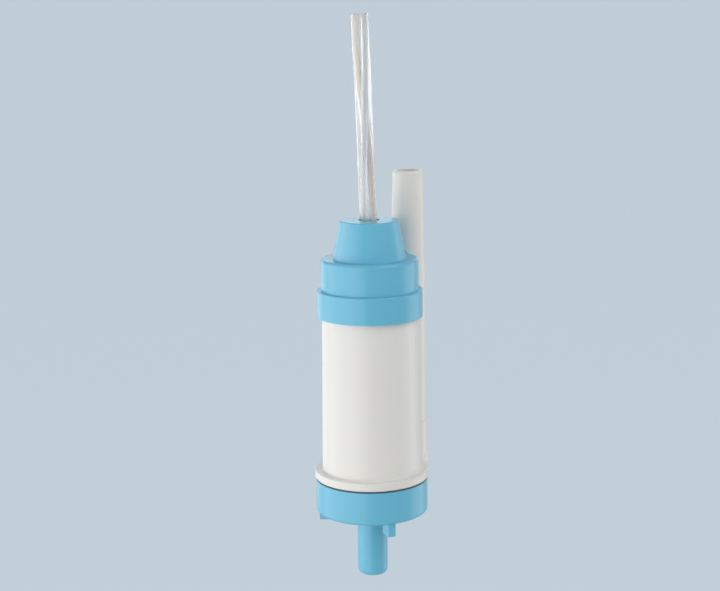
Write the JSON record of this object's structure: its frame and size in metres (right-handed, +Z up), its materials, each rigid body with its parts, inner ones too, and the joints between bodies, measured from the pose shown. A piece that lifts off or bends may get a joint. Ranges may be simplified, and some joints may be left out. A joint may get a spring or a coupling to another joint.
{
  "type": "caravan water pump",
  "caption": "Slim submersible water pump with a white tubular body, a side outlet pipe, a pale blue cap and base cover, a bottom inlet spigot and a cable out of the cap's cone.",
  "frame": {"origin": "on the outlet pipe's axis, at the hose stop where a pushed-on hose ends", "axes": "+Z up along the outlet pipe and the pump axis, -Y from the outlet pipe through the pump axis to the front of the body, +X to the right seen from the front"},
  "size_m": [0.0432, 0.053, 0.2126],
  "materials": {
    "white_plastic": "satin moulded white plastic",
    "blue_plastic": "satin moulded pale blue plastic",
    "black_rubber": "matt rubber",
    "potting_resin": "cast resin",
    "clear_pvc": "milky clear soft plastic",
    "tinned_copper": "tinned strands",
    "copper": "bare copper",
    "zinc_steel": "zinc plated",
    "spring_steel": "bright spring steel",
    "ground_steel": "ground steel",
    "ferrite": "sintered ferrite",
    "bronze": "sintered bronze",
    "brass": "stamped brass",
    "carbon": "pressed carbon",
    "ceramic": "dipped ceramic",
    "black_plastic": "moulded black plastic"
  },
  "bodies": {
    "housing": {"pump_housing": "white_plastic", "outlet_pipe": "white_plastic", "base_gasket": "black_rubber", "top_cap": "blue_plastic", "cap_seal_ring": "black_rubber", "potting_resin": "potting_resin", "cable_sheath": "clear_pvc", "conductor_tinned": "tinned_copper", "conductor_copper": "copper", "motor_can": "zinc_steel", "motor_magnets": "ferrite", "magnet_clips": "spring_steel", "front_bearing": "bronze", "rear_bearing": "bronze", "motor_end_cap": "black_plastic", "brush_holders": "brass", "brush_spring_right": "spring_steel", "brush_spring_left": "spring_steel", "motor_terminals": "brass", "suppression_capacitor": "ceramic", "motor_gasket": "black_rubber", "motor_cushion": "black_rubber", "shaft_seal": "black_rubber", "seal_spring": "spring_steel", "seal_washer": "zinc_steel"},
    "rotor": {"motor_shaft": "ground_steel", "armature_core": "ground_steel", "armature_windings": "copper", "rotor_spacers": "white_plastic", "thrust_washers": "zinc_steel", "commutator_body": "black_plastic", "commutator_segments": "copper", "impeller": "white_plastic"},
    "base": {"base_cover": "blue_plastic"},
    "brush_right": {"brush_right": "carbon"},
    "brush_left": {"brush_left": "carbon"}
  },
  "joints": [
    {"name": "rotor_spin", "type": "hinge", "parent": "housing", "child": "rotor", "pos_m": [0, -0.0238, -0.053], "axis": [0, 0, 1], "continuous": true},
    {"name": "base_twist", "type": "hinge", "parent": "housing", "child": "base", "pos_m": [0, -0.0238, -0.0917], "axis": [0, 0, 1], "range_deg": [0, 45]},
    {"name": "brush_right_slide", "type": "slide", "parent": "housing", "child": "brush_right", "axis": [1, 0, 0], "range_m": [0, 0.002], "stiffness_N_per_m": 200, "springref_m": -0.005, "deforming": ["brush_spring_right"]},
    {"name": "brush_left_slide", "type": "slide", "parent": "housing", "child": "brush_left", "axis": [-1, 0, 0], "range_m": [0, 0.002], "stiffness_N_per_m": 200, "springref_m": -0.005, "deforming": ["brush_spring_left"]}
  ]
}
